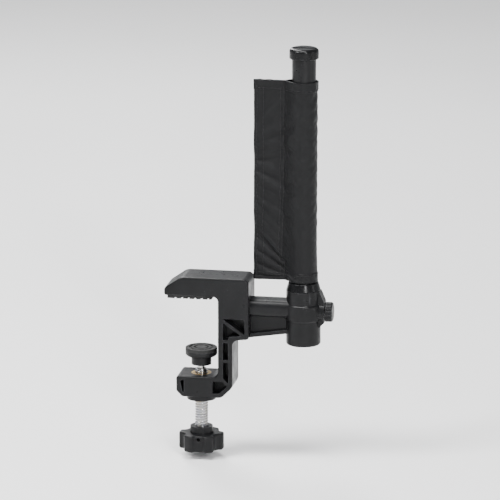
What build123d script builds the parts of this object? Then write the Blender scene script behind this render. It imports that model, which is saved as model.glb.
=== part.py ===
"""Table tennis net clamp: a C-clamp with an arm and an upright net post.

The clamp grips a table frame between its upper jaw and a pressure pad on a
vertical screw. An arm reaches out from the jaws to an upright barrel, in
which the post slides. A lock knob in the barrel's side holds the post.

Millimetres. The origin is on the upper jaw's rubber face, on the clamp
screw's axis. +X points out from the table, +Z up. Y = 0 is the plane of
symmetry. At rest the jaws are open by REST_OPENING and the post is down.
"""

import os
from math import sqrt

from build123d import *

# ---- Driving dimensions ----------------------------------------------------
POST_X = 78.0  # from the clamp screw's axis to the post's axis
POST_R = 9.0
POST_WALL = 1.5
POST_TOP = 185.0  # the tube's upper end, under its cap
POST_LIFT = 12.0  # height adjustment, upward from rest
POST_FLAT_DEPTH = 0.5  # flat on the outer side, for the lock shoe
CAP_R = 11.0
CAP_TOP = 193.0

SLEEVE_BOTTOM, SLEEVE_TOP = 15.0, 168.0
SLEEVE_WIDTH = 48.6  # from the flap's hem to the pocket's outer side
POCKET_R = 10.8
FLAP_THICKNESS = 2.6

BARREL_R = 13.0
BARREL_BORE_R = 11.0
BARREL_BOTTOM, BARREL_TOP = -34.0, 8.0
BUSH_RIM_TOP = 14.0
BUSH_RIM_R = 11.3  # radius of the flared rim at its top
BAND_R = 14.0  # raised band that the arm's beam runs into
LOCK_Z = -8.5  # height of the lock screw

ARM_DEPTH = 13.0  # height of the arm's rounded beam
ARM_HALF_WIDTH = 10.0
WEB_HALF = 4.0
FOOT_HALF_WIDTH = 7.0  # flange along the web's lower edge
FLANGE = 3.0
ROOT_DROP, TIP_DROP = 29.5, 25.0  # the web's lower edge, inner and outer end

BEAM_TOP_R, BEAM_BOTTOM_R = 5.5, 2.5
BOSS_RIB = 10.0  # width of the rib that the lock screw's boss grows out of

JAW_HALF_WIDTH = 14.0
JAW_TOP = 17.0
JAW_TIP_X = -26.0
NOSE_Z, NOSE_RUN = 8.0, 13.0  # where the nose's slope starts, and its length along X
SHOULDER_X = 38.5  # outer end of the upper jaw's back
THROAT_X = 15.0  # inner wall of the C
SPINE_X = 26.0  # outer wall of the C, under the arm
LOWER_JAW_TOP, LOWER_JAW_BOTTOM = -60.0, -76.0
LOWER_JAW_TIP_X = -17.0
HEEL, TOE = 8.5, 4.5  # corner slopes of the lower jaw's underside
EDGE_R = 1.4  # rounding of the moulding's long edges
RIB = 2.2  # thickness of the ribs across the pockets
INSERT_WALL = 3.5  # round the clamp screw's insert

REST_OPENING = 40.0
OPENING_MIN = 20.0
PAD_THICKNESS = 2.5  # both rubber pads
SCREW_R = 5.0
INSERT_R = 7.5
SPIGOT_R = 2.5
PAD_R = 12.0
PLATE_THICKNESS = 4.0
SOCKET_R = 7.5
BALL_R = 5.0
KNOB_R, KNOB_HEIGHT, KNOB_LOBES = 17.0, 18.0, 6
KNOB_SCALLOP_R, KNOB_SCALLOP_OUT = 6.0, 2.6  # the scallops' centres lie outside the rim
KNOB_HUB_R, KNOB_HUB_RISE = 9.5, 5.0
KNOB_CAP_R, KNOB_CAP_DEPTH = 7.0, 2.5
PIN_R, PIN_LENGTH = 1.5, 15.0

LOCK_R = 3.0
LOCK_INSERT_R = 4.5
SHOE_R = 2.7
LOCK_KNOB_R, LOCK_KNOB_LENGTH, LOCK_KNOB_FLUTES = 7.5, 5.5, 18
BOSS_R = 7.5
BOSS_REACH = 16.5  # from the post's axis to the boss's face

RUNNING = 0.05  # radial clearance of every running fit
LOOSE = 0.3  # clearance where nothing needs to fit

# ---- Worked out from them --------------------------------------------------
BORE_FLOOR = BARREL_BOTTOM + 3.0  # the end cap's inner face
STOP_RIM_BOTTOM = BORE_FLOOR + 1.0
TUBE_BOTTOM = STOP_RIM_BOTTOM + 3.0
BUSH_BOTTOM = TUBE_BOTTOM + POST_LIFT + 0.5
TUBE_BORE_R = POST_R - POST_WALL
FLAT_X = POST_X + POST_R - POST_FLAT_DEPTH
BOSS_FACE_X = POST_X + BOSS_REACH
BAND_HALF = BOSS_R - 2.0

PLATE_TOP = -REST_OPENING - PAD_THICKNESS
PLATE_BOTTOM = PLATE_TOP - PLATE_THICKNESS
BALL_Z = PLATE_BOTTOM - 2.5
SPIGOT_TOP = BALL_Z - 1.0
SOCKET_BOTTOM = BALL_Z - 4.2
RING_TOP = BALL_Z - 3.0
RING_BOTTOM = RING_TOP - 1.2
RING_BORE_R = sqrt(BALL_R**2 - (BALL_Z - RING_TOP) ** 2) + 0.15
RING_R = BALL_R + 1.3
SCREW_SHOULDER = SOCKET_BOTTOM - 3.3
INSERT_BOTTOM = LOWER_JAW_BOTTOM - 4.0
KNOB_TOP = INSERT_BOTTOM - (REST_OPENING - OPENING_MIN) - 1.5
KNOB_BOTTOM = KNOB_TOP - KNOB_HEIGHT
KNOB_CAP_TOP = KNOB_BOTTOM + KNOB_CAP_DEPTH
PIN_Z = KNOB_TOP - 8.0

POST_AXIS = Axis((POST_X, 0, 0), (0, 0, 1))
LOCK_AXIS = Axis((0, 0, LOCK_Z), (1, 0, 0))


def side_profile(*points, radii=0.0):
    """Face on the plane Y = 0, from (x, z) points with rounded corners."""
    with BuildSketch(Plane.XZ) as profile:
        with BuildLine():
            FilletPolyline(*points, radius=radii, close=True)
        make_face()
    return profile.sketch


def post_profile(*points, radii=0.0):
    """The same, from (radius, z) points measured from the post's axis."""
    return side_profile(*((POST_X + r, z) for r, z in points), radii=radii)


def lock_profile(*points, radii=0.0):
    """The same, from (distance out from the post's axis, radius about the lock screw)."""
    return side_profile(*((POST_X + x, LOCK_Z + r) for x, r in points), radii=radii)


# ---- Clamp frame: C-shaped jaws, arm and barrel in one moulding ------------
c_outline = side_profile(
    (JAW_TIP_X, PAD_THICKNESS),
    (JAW_TIP_X, NOSE_Z),
    (JAW_TIP_X + NOSE_RUN, JAW_TOP),
    (SHOULDER_X, JAW_TOP),
    (SHOULDER_X, -ROOT_DROP),
    (SPINE_X, -ROOT_DROP - 1.5),
    (SPINE_X, LOWER_JAW_BOTTOM + HEEL),
    (SPINE_X - HEEL, LOWER_JAW_BOTTOM),
    (LOWER_JAW_TIP_X + TOE, LOWER_JAW_BOTTOM),
    (LOWER_JAW_TIP_X, LOWER_JAW_BOTTOM + TOE),
    (LOWER_JAW_TIP_X, LOWER_JAW_TOP),
    (THROAT_X, LOWER_JAW_TOP),
    (THROAT_X, PAD_THICKNESS),
    radii=[1.6, 3, 9, 4.5, 2, 5, 6, 6, 3, 3, 2, 5, 4],
)
POCKET_INNER, POCKET_OUTER = THROAT_X + FLANGE + 1, SPINE_X - FLANGE
POCKET_TOP, POCKET_BOTTOM = -ARM_DEPTH - 1, LOWER_JAW_BOTTOM + FLANGE + 0.5
pocket_outline = side_profile(
    (POCKET_INNER, POCKET_TOP),
    (SHOULDER_X - FLANGE, POCKET_TOP),
    (SHOULDER_X - FLANGE, -ROOT_DROP + FLANGE),
    (POCKET_OUTER, -ROOT_DROP + FLANGE / 2),
    (POCKET_OUTER, POCKET_BOTTOM + HEEL - FLANGE / 2),
    (POCKET_OUTER - HEEL + FLANGE / 2, POCKET_BOTTOM),
    (LOWER_JAW_TIP_X + FLANGE + 2, POCKET_BOTTOM),
    (LOWER_JAW_TIP_X + FLANGE, LOWER_JAW_TOP - FLANGE),
    (POCKET_INNER, LOWER_JAW_TOP - FLANGE),
)
arm_web = side_profile(
    (SHOULDER_X - 2, -ARM_DEPTH / 2),
    (SHOULDER_X - 2, -ROOT_DROP),
    (POST_X - BARREL_BORE_R, -TIP_DROP),
    (POST_X - BARREL_BORE_R, -ARM_DEPTH / 2),
)
arm_foot = side_profile(
    (SHOULDER_X - 2, -ROOT_DROP + FLANGE),
    (SHOULDER_X - 2, -ROOT_DROP),
    (POST_X - BARREL_BORE_R, -TIP_DROP),
    (POST_X - BARREL_BORE_R, -TIP_DROP + FLANGE),
)
barrel_wall = post_profile(
    (0, BARREL_BOTTOM),
    (BARREL_R, BARREL_BOTTOM),
    (BARREL_R, LOCK_Z - BAND_HALF - 1),
    (BAND_R, LOCK_Z - BAND_HALF),
    (BAND_R, LOCK_Z + BAND_HALF),
    (BARREL_R, LOCK_Z + BAND_HALF + 1),
    (BARREL_R, BARREL_TOP),
    (0, BARREL_TOP),
    radii=[0, 1.6, 1, 1.2, 1.2, 1, 0, 0],
)
boss_rib = side_profile(
    (POST_X + BARREL_BORE_R, BARREL_TOP - 0.5),
    (POST_X + BARREL_R, BARREL_TOP - 0.5),
    (BOSS_FACE_X, LOCK_Z + BOSS_R),
    (BOSS_FACE_X, LOCK_Z - BOSS_R),
    (POST_X + BARREL_R, LOCK_Z - 1.5 * BOSS_R),
    (POST_X + BARREL_BORE_R, LOCK_Z - 1.5 * BOSS_R),
)

RIBS = (  # middle x and z, length, angle from the X axis
    (SPINE_X + 0.5, -ARM_DEPTH - 8, 26, -35),
    (THROAT_X + 5, -ROOT_DROP - 2, 16, 0),
    (THROAT_X + 5, LOWER_JAW_TOP + 13, 16, 0),
    (SPINE_X - 4, LOWER_JAW_TOP - 5, 22, -45),
)

with BuildPart() as clamp_frame:
    extrude(c_outline, amount=JAW_HALF_WIDTH, both=True)
    fillet(clamp_frame.faces().filter_by(Axis.Y).edges(), EDGE_R)

    # Pockets in both sides leave a web, flanges, ribs and the screw's boss.
    with BuildSketch(Plane.XZ) as pockets:
        add(pocket_outline)
        fillet(pockets.vertices(), 1.2)
        for x, z, length, angle in RIBS:
            with Locations((x, z)):
                Rectangle(length, RIB, rotation=angle, mode=Mode.SUBTRACT)
        with Locations((0, (LOWER_JAW_TOP + LOWER_JAW_BOTTOM) / 2)):
            Rectangle(2 * (INSERT_R + INSERT_WALL), 30, mode=Mode.SUBTRACT)
    for side in (-1, 1):
        with BuildSketch(Plane.XZ.offset(side * WEB_HALF)):
            add(pockets.sketch)
        extrude(amount=side * JAW_HALF_WIDTH, mode=Mode.SUBTRACT)

    # The arm: a rounded beam on a tapering web with a narrow foot.
    with BuildSketch(Plane.YZ.offset(SHOULDER_X - 3)) as beam:
        with Locations((0, -ARM_DEPTH / 2)):
            Rectangle(2 * ARM_HALF_WIDTH, ARM_DEPTH)
        fillet(beam.vertices().group_by(Axis.Z)[-1], BEAM_TOP_R)
        fillet(beam.vertices().group_by(Axis.Z)[0], BEAM_BOTTOM_R)
    extrude(amount=POST_X - SHOULDER_X + 3)
    extrude(arm_web, amount=WEB_HALF, both=True)
    extrude(arm_foot, amount=FOOT_HALF_WIDTH, both=True)

    # The barrel with its raised band, and the lock screw's boss.
    revolve(barrel_wall, axis=POST_AXIS)
    extrude(boss_rib, amount=BOSS_RIB / 2, both=True)
    with BuildSketch(Plane.YZ.offset(POST_X + BARREL_BORE_R)):
        with Locations((0, LOCK_Z)):
            Circle(BOSS_R)
    extrude(amount=BOSS_REACH - BARREL_BORE_R)
    with Locations((0, 0, (LOWER_JAW_TOP + INSERT_BOTTOM) / 2)):
        Cylinder(INSERT_R + INSERT_WALL, LOWER_JAW_TOP - INSERT_BOTTOM)

    # Bores for the bush, the end cap and the two threaded inserts.
    with Locations((POST_X, 0, (BARREL_TOP + BARREL_BOTTOM) / 2)):
        Cylinder(BARREL_BORE_R, BARREL_TOP - BARREL_BOTTOM, mode=Mode.SUBTRACT)
    with Locations((0, 0, (LOWER_JAW_TOP + INSERT_BOTTOM) / 2)):
        Cylinder(INSERT_R, LOWER_JAW_TOP - INSERT_BOTTOM, mode=Mode.SUBTRACT)
    with Locations((POST_X + BARREL_R, 0, LOCK_Z)):
        Cylinder(
            LOCK_INSERT_R,
            2 * (BOSS_REACH - BARREL_BORE_R),
            rotation=(0, 90, 0),
            mode=Mode.SUBTRACT,
        )

# ---- Rubber pad under the upper jaw, with grooves across it ----------------
UPPER_PAD_INNER, UPPER_PAD_OUTER = JAW_TIP_X + 2.0, THROAT_X - 5.0
GROOVE_PITCH, GROOVE_WIDTH, GROOVE_DEPTH = 5.0, 1.4, 0.9
with BuildPart() as upper_jaw_pad:
    with BuildSketch():
        with Locations(((UPPER_PAD_INNER + UPPER_PAD_OUTER) / 2, 0)):
            RectangleRounded(UPPER_PAD_OUTER - UPPER_PAD_INNER, 2 * JAW_HALF_WIDTH - 3.5, 2)
    extrude(amount=PAD_THICKNESS)
    with BuildSketch():
        with Locations(*((GROOVE_PITCH * (i + 0.5), 0) for i in range(-4, 2))):
            Rectangle(GROOVE_WIDTH, 2 * JAW_HALF_WIDTH)
    extrude(amount=GROOVE_DEPTH, mode=Mode.SUBTRACT)

# ---- Clamp screw, its insert, knob, pin and cap ----------------------------
with BuildPart() as jaw_thread_insert:
    with BuildSketch(Plane.XY.offset(INSERT_BOTTOM)):
        Circle(INSERT_R)
        Circle(SCREW_R + RUNNING, mode=Mode.SUBTRACT)
    extrude(amount=LOWER_JAW_TOP - INSERT_BOTTOM)

with BuildPart() as clamp_screw:
    with BuildSketch(Plane.XY.offset(KNOB_CAP_TOP)):
        Circle(SCREW_R)
    extrude(amount=SCREW_SHOULDER - KNOB_CAP_TOP)
    chamfer(clamp_screw.faces().sort_by(Axis.Z)[-1].edges(), 1)
    with BuildSketch(Plane.XY.offset(SCREW_SHOULDER)):
        Circle(SPIGOT_R)
    extrude(amount=SPIGOT_TOP - SCREW_SHOULDER)
    with Locations((0, 0, PIN_Z)):
        Cylinder(PIN_R, 3 * SCREW_R, rotation=(90, 0, 0), mode=Mode.SUBTRACT)

with BuildPart() as clamp_knob:
    with BuildSketch(Plane.XY.offset(KNOB_BOTTOM)) as lobes:
        Circle(KNOB_R)
        with PolarLocations(KNOB_R + KNOB_SCALLOP_OUT, KNOB_LOBES, start_angle=180 / KNOB_LOBES):
            Circle(KNOB_SCALLOP_R, mode=Mode.SUBTRACT)
        fillet(lobes.vertices(), 2.2)
    extrude(amount=KNOB_HEIGHT - KNOB_HUB_RISE)
    fillet(clamp_knob.faces().filter_by(Axis.Z).edges(), 1.5)
    with BuildSketch(Plane.XY.offset(KNOB_BOTTOM)):
        Circle(KNOB_HUB_R)
    extrude(amount=KNOB_HEIGHT, taper=3)
    with Locations((0, 0, (KNOB_TOP + KNOB_BOTTOM) / 2)):
        Cylinder(SCREW_R, KNOB_HEIGHT, mode=Mode.SUBTRACT)
    with Locations((0, 0, KNOB_BOTTOM)):
        Cylinder(KNOB_CAP_R, 2 * KNOB_CAP_DEPTH, mode=Mode.SUBTRACT)
    with Locations((0, 0, PIN_Z)):
        Cylinder(PIN_R, 2 * KNOB_R, rotation=(90, 0, 0), mode=Mode.SUBTRACT)

with BuildPart() as clamp_knob_pin:
    with Locations((0, 0, PIN_Z)):
        Cylinder(PIN_R, PIN_LENGTH, rotation=(90, 0, 0))
    chamfer(clamp_knob_pin.edges().filter_by(GeomType.CIRCLE), 0.3)

with BuildPart() as clamp_knob_cap:
    with BuildSketch(Plane.XY.offset(KNOB_BOTTOM)):
        Circle(KNOB_CAP_R)
    extrude(amount=KNOB_CAP_DEPTH)
    fillet(clamp_knob_cap.edges().sort_by(Axis.Z)[0], 0.6)

# ---- Swivel: ball, pressure pad, retaining ring and rubber disc ------------
with BuildPart() as swivel_ball:
    with Locations((0, 0, BALL_Z)):
        Sphere(BALL_R)
    with Locations((0, 0, SPIGOT_TOP - BALL_R / 2)):
        Cylinder(SPIGOT_R, BALL_R, mode=Mode.SUBTRACT)

with BuildPart() as pressure_pad:
    with BuildSketch(Plane.XY.offset(PLATE_BOTTOM)):
        Circle(PAD_R)
    extrude(amount=PLATE_THICKNESS)
    chamfer(pressure_pad.faces().sort_by(Axis.Z)[0].edges(), 1.2)
    with BuildSketch(Plane.XY.offset(SOCKET_BOTTOM)):
        Circle(SOCKET_R)
    extrude(amount=PLATE_BOTTOM - SOCKET_BOTTOM)
    with Locations((0, 0, BALL_Z)):
        Sphere(BALL_R + RUNNING, mode=Mode.SUBTRACT)
    with Locations((0, 0, BALL_Z - BALL_R)):
        Cylinder(BALL_R + RUNNING, 2 * BALL_R, mode=Mode.SUBTRACT)
    with Locations((0, 0, (RING_TOP + RING_BOTTOM) / 2)):
        Cylinder(RING_R, RING_TOP - RING_BOTTOM, mode=Mode.SUBTRACT)

with BuildPart() as pad_retaining_ring:
    with BuildSketch(Plane.XY.offset(RING_BOTTOM)):
        Circle(RING_R)
        Circle(RING_BORE_R, mode=Mode.SUBTRACT)
    extrude(amount=RING_TOP - RING_BOTTOM)

RING_GROOVES, RING_GROOVE_WIDTH, RING_GROOVE_DEPTH = (8.5, 5.0), 1.2, 0.8
with BuildPart() as pressure_pad_rubber:
    with BuildSketch(Plane.XY.offset(PLATE_TOP)):
        Circle(PAD_R)
    extrude(amount=PAD_THICKNESS)
    fillet(pressure_pad_rubber.faces().sort_by(Axis.Z)[-1].edges(), 0.5)
    with BuildSketch(Plane.XY.offset(PLATE_TOP + PAD_THICKNESS)):
        for groove_r in RING_GROOVES:
            Circle(groove_r + RING_GROOVE_WIDTH / 2)
            Circle(groove_r - RING_GROOVE_WIDTH / 2, mode=Mode.SUBTRACT)
    extrude(amount=-RING_GROOVE_DEPTH, mode=Mode.SUBTRACT)

# ---- Barrel: bush with a flared rim, and end cap ---------------------------
with BuildPart() as barrel_bush:
    revolve(
        post_profile(
            (POST_R + RUNNING, BUSH_BOTTOM),
            (BARREL_BORE_R, BUSH_BOTTOM),
            (BARREL_BORE_R, BARREL_TOP),
            (BARREL_R, BARREL_TOP),
            (BUSH_RIM_R, BUSH_RIM_TOP),
            (POST_R + RUNNING, BUSH_RIM_TOP),
            radii=[0, 0, 0, 0.6, 0.6, 0.4],
        ),
        axis=POST_AXIS,
    )
    with Locations((POST_X + BARREL_BORE_R, 0, LOCK_Z)):
        Cylinder(LOCK_INSERT_R, 5, rotation=(0, 90, 0), mode=Mode.SUBTRACT)

with BuildPart() as barrel_end_cap:
    revolve(
        post_profile(
            (0, BARREL_BOTTOM),
            (BARREL_BORE_R, BARREL_BOTTOM),
            (BARREL_BORE_R, BORE_FLOOR),
            (0, BORE_FLOOR),
            radii=[0, 0.8, 0, 0],
        ),
        axis=POST_AXIS,
    )

# ---- Post: tube with a flat, foot plug, cap and cap screw ------------------
FLAT_LENGTH = 28.0  # from the tube's foot, so that it never shows above the bush
PLUG_LENGTH, CAP_SPIGOT = 12.0, 15.0  # how far the plug and the cap reach into the tube
CORD_SLOT_WIDTH, CORD_SLOT_DEPTH = 3.0, 4.5
CAP_SCREW_Z, CAP_SCREW_R = POST_TOP - 8.0, 1.4
CAP_SCREW_TIP_Y = 2.0
CAP_SCREW_HEAD_R, CAP_SCREW_HEAD = 2.6, 1.8
CAP_SCREW_SEAT_Y = sqrt(POST_R**2 - CAP_SCREW_HEAD_R**2)  # spot face in the tube's wall


def cap_screw_plane(y):
    """Plane across the cap screw's axis, which points along +Y, at that y."""
    return Plane((POST_X, y, CAP_SCREW_Z), x_dir=(1, 0, 0), z_dir=(0, 1, 0))


with BuildPart() as post_tube:
    with BuildSketch(Plane.XY.offset(TUBE_BOTTOM)):
        with Locations((POST_X, 0)):
            Circle(POST_R)
            Circle(TUBE_BORE_R, mode=Mode.SUBTRACT)
    extrude(amount=POST_TOP - TUBE_BOTTOM)
    with Locations((FLAT_X + 2, 0, TUBE_BOTTOM)):
        Box(4, 2 * POST_R, 2 * FLAT_LENGTH, mode=Mode.SUBTRACT)
    with BuildSketch(cap_screw_plane(CAP_SCREW_TIP_Y)):
        Circle(CAP_SCREW_R)
    extrude(amount=POST_R, mode=Mode.SUBTRACT)
    with BuildSketch(cap_screw_plane(CAP_SCREW_SEAT_Y)):
        Circle(CAP_SCREW_HEAD_R + RUNNING)
    extrude(amount=POST_R, mode=Mode.SUBTRACT)

with BuildPart() as post_bottom_plug:
    revolve(
        post_profile(
            (0, STOP_RIM_BOTTOM),
            (BARREL_BORE_R - LOOSE, STOP_RIM_BOTTOM),
            (BARREL_BORE_R - LOOSE, TUBE_BOTTOM),
            (TUBE_BORE_R, TUBE_BOTTOM),
            (TUBE_BORE_R, TUBE_BOTTOM + PLUG_LENGTH),
            (0, TUBE_BOTTOM + PLUG_LENGTH),
            radii=[0, 0.5, 0.5, 0, 1, 0],
        ),
        axis=POST_AXIS,
    )

with BuildPart() as post_top_cap:
    revolve(
        post_profile(
            (0, POST_TOP - CAP_SPIGOT),
            (TUBE_BORE_R, POST_TOP - CAP_SPIGOT),
            (TUBE_BORE_R, POST_TOP),
            (CAP_R, POST_TOP),
            (CAP_R, CAP_TOP),
            (0, CAP_TOP),
            radii=[0, 1, 0, 0.8, 2.6, 0],
        ),
        axis=POST_AXIS,
    )
    with Locations((POST_X, 0, CAP_TOP)):
        Box(3 * CAP_R, CORD_SLOT_WIDTH, 2 * CORD_SLOT_DEPTH, mode=Mode.SUBTRACT)
    with BuildSketch(cap_screw_plane(CAP_SCREW_TIP_Y)):
        Circle(CAP_SCREW_R)
    extrude(amount=POST_R, mode=Mode.SUBTRACT)

CROSS_WIDTH, CROSS_LENGTH, CROSS_DEPTH = 0.8, 3.0, 1.1
with BuildPart() as post_cap_screw:
    with BuildSketch(cap_screw_plane(CAP_SCREW_TIP_Y)):
        Circle(CAP_SCREW_R)
    extrude(amount=CAP_SCREW_SEAT_Y - CAP_SCREW_TIP_Y)
    with BuildSketch(cap_screw_plane(CAP_SCREW_SEAT_Y)):
        Circle(CAP_SCREW_HEAD_R)
    extrude(amount=CAP_SCREW_HEAD)
    fillet(post_cap_screw.faces().sort_by(Axis.Y)[-1].edges(), 1)
    with BuildSketch(cap_screw_plane(CAP_SCREW_SEAT_Y + CAP_SCREW_HEAD)):
        Rectangle(CROSS_LENGTH, CROSS_WIDTH)
        Rectangle(CROSS_WIDTH, CROSS_LENGTH)
    extrude(amount=-CROSS_DEPTH, mode=Mode.SUBTRACT)

# ---- Net sleeve: pocket round the post and a flat double flap --------------
with BuildPart() as net_sleeve:
    with BuildSketch(Plane.XY.offset(SLEEVE_BOTTOM)):
        with Locations((POST_X, 0)):
            Circle(POCKET_R)
        with Locations((POST_X + POCKET_R - SLEEVE_WIDTH / 2, 0)):
            Rectangle(SLEEVE_WIDTH, FLAP_THICKNESS)
        with Locations((POST_X, 0)):
            Circle(POST_R + LOOSE, mode=Mode.SUBTRACT)
    extrude(amount=SLEEVE_TOP - SLEEVE_BOTTOM)

# ---- Lock screw: insert, screw, knob and shoe ------------------------------
with BuildPart() as lock_thread_insert:
    revolve(
        lock_profile(
            (BARREL_BORE_R + 0.4, LOCK_R + RUNNING),
            (BARREL_BORE_R + 0.4, LOCK_INSERT_R),
            (BOSS_REACH, LOCK_INSERT_R),
            (BOSS_REACH, LOCK_R + RUNNING),
        ),
        axis=LOCK_AXIS,
    )

SHOE_REACH = FLAT_X - POST_X + 0.03
SHOE_LENGTH, SHOE_FLOOR, SHOE_BORE_R = 2.4, 1.0, 1.3
with BuildPart() as lock_shoe:
    revolve(
        lock_profile(
            (SHOE_REACH, 0),
            (SHOE_REACH, SHOE_R),
            (SHOE_REACH + SHOE_LENGTH, SHOE_R),
            (SHOE_REACH + SHOE_LENGTH, SHOE_BORE_R),
            (SHOE_REACH + SHOE_FLOOR, SHOE_BORE_R),
            (SHOE_REACH + SHOE_FLOOR, 0),
            radii=[0, 0.3, 0, 0, 0, 0],
        ),
        axis=LOCK_AXIS,
    )

LOCK_KNOB_FACE = BOSS_REACH + 0.5
LOCK_SCREW_END = LOCK_KNOB_FACE + 4.0  # inside the knob
FLUTE_R = 0.8
with BuildPart() as lock_screw:
    revolve(
        lock_profile(
            (SHOE_REACH + SHOE_FLOOR + RUNNING, 0),
            (SHOE_REACH + SHOE_FLOOR + RUNNING, SHOE_BORE_R - RUNNING),
            (SHOE_REACH + SHOE_LENGTH + RUNNING, SHOE_BORE_R - RUNNING),
            (SHOE_REACH + SHOE_LENGTH + RUNNING, LOCK_R),
            (LOCK_SCREW_END, LOCK_R),
            (LOCK_SCREW_END, 0),
        ),
        axis=LOCK_AXIS,
    )

with BuildPart() as lock_knob:
    revolve(
        lock_profile(
            (LOCK_KNOB_FACE, LOCK_R),
            (LOCK_KNOB_FACE, LOCK_KNOB_R),
            (LOCK_KNOB_FACE + LOCK_KNOB_LENGTH, LOCK_KNOB_R),
            (LOCK_KNOB_FACE + LOCK_KNOB_LENGTH, 0),
            (LOCK_SCREW_END, 0),
            (LOCK_SCREW_END, LOCK_R),
            radii=[0, 0.6, 1.4, 0, 0, 0],
        ),
        axis=LOCK_AXIS,
    )
    with BuildSketch(Plane.YZ.offset(POST_X + LOCK_KNOB_FACE)):
        with Locations((0, LOCK_Z)):
            with PolarLocations(LOCK_KNOB_R + LOOSE, LOCK_KNOB_FLUTES):
                Circle(FLUTE_R)
    extrude(amount=LOCK_KNOB_LENGTH, mode=Mode.SUBTRACT)

# ---- One STEP file per piece -----------------------------------------------
os.makedirs("parts", exist_ok=True)
PIECES = {
    "clamp_frame": clamp_frame,
    "upper_jaw_pad": upper_jaw_pad,
    "jaw_thread_insert": jaw_thread_insert,
    "clamp_screw": clamp_screw,
    "clamp_knob": clamp_knob,
    "clamp_knob_pin": clamp_knob_pin,
    "clamp_knob_cap": clamp_knob_cap,
    "swivel_ball": swivel_ball,
    "pressure_pad": pressure_pad,
    "pad_retaining_ring": pad_retaining_ring,
    "pressure_pad_rubber": pressure_pad_rubber,
    "barrel_bush": barrel_bush,
    "barrel_end_cap": barrel_end_cap,
    "post_tube": post_tube,
    "post_bottom_plug": post_bottom_plug,
    "post_top_cap": post_top_cap,
    "post_cap_screw": post_cap_screw,
    "net_sleeve": net_sleeve,
    "lock_thread_insert": lock_thread_insert,
    "lock_shoe": lock_shoe,
    "lock_screw": lock_screw,
    "lock_knob": lock_knob,
}
for name, piece in PIECES.items():
    piece.part.label = name
    export_step(piece.part, f"parts/{name}.step")
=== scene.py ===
"""Looks of the table tennis net clamp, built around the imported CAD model.

Metres, in the row frame: +X points out from the table, +Z up, and Y = 0 is the
plane of symmetry. The net sleeve is simulated cloth, the two screws get real
threads, and the other CAD nodes keep their meshes and get materials.
"""

from math import acos, cos, pi, radians, sin, sqrt

import bmesh
import bpy
import numpy as np
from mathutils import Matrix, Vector


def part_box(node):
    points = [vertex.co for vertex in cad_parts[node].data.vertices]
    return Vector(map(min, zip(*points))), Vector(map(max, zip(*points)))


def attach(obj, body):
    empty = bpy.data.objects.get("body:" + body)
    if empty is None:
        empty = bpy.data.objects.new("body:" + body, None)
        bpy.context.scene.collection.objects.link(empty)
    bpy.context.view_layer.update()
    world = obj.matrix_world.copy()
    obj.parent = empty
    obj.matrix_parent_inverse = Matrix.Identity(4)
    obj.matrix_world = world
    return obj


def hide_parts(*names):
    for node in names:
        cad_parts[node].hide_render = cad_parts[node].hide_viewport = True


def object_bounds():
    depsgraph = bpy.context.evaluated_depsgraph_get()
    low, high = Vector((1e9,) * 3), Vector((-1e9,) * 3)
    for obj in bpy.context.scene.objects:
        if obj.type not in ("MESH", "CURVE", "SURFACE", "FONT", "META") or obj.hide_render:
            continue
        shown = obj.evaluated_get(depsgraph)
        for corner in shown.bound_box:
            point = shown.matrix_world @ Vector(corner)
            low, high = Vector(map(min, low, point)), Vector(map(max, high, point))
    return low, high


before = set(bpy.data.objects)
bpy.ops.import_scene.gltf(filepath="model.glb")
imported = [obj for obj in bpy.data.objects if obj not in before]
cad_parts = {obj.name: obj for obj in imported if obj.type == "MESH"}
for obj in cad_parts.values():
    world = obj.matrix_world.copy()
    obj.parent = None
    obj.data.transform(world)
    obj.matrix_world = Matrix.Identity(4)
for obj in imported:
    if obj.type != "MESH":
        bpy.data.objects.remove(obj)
CAD_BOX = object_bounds()
MM = 0.001

POST_LO, POST_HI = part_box("post_tube")
POST_X = (POST_LO.x + POST_HI.x) / 2
POST_R = (POST_HI.y - POST_LO.y) / 2
SLEEVE_LO, SLEEVE_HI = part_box("net_sleeve")
SCREW_LO, SCREW_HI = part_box("clamp_screw")
LOCK_LO, LOCK_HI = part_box("lock_screw")
LOCK_Z = (LOCK_LO.z + LOCK_HI.z) / 2
KNOB_LO, KNOB_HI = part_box("clamp_knob")


def smooth(t):
    """0 below t = 0, 1 above t = 1, and an even S between."""
    t = np.clip(t, 0.0, 1.0)
    return t * t * (3 - 2 * t)


def bump_at(x, middle, half_width):
    """A bell of height 1 at the middle, near 0 past two half widths."""
    return np.exp(-(((x - middle) / half_width) ** 2))


# ---- Materials ----------------------------------------------------------------
EDGE_R = 0.25 * MM  # rounding that the shading gives to every sharp edge


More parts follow.
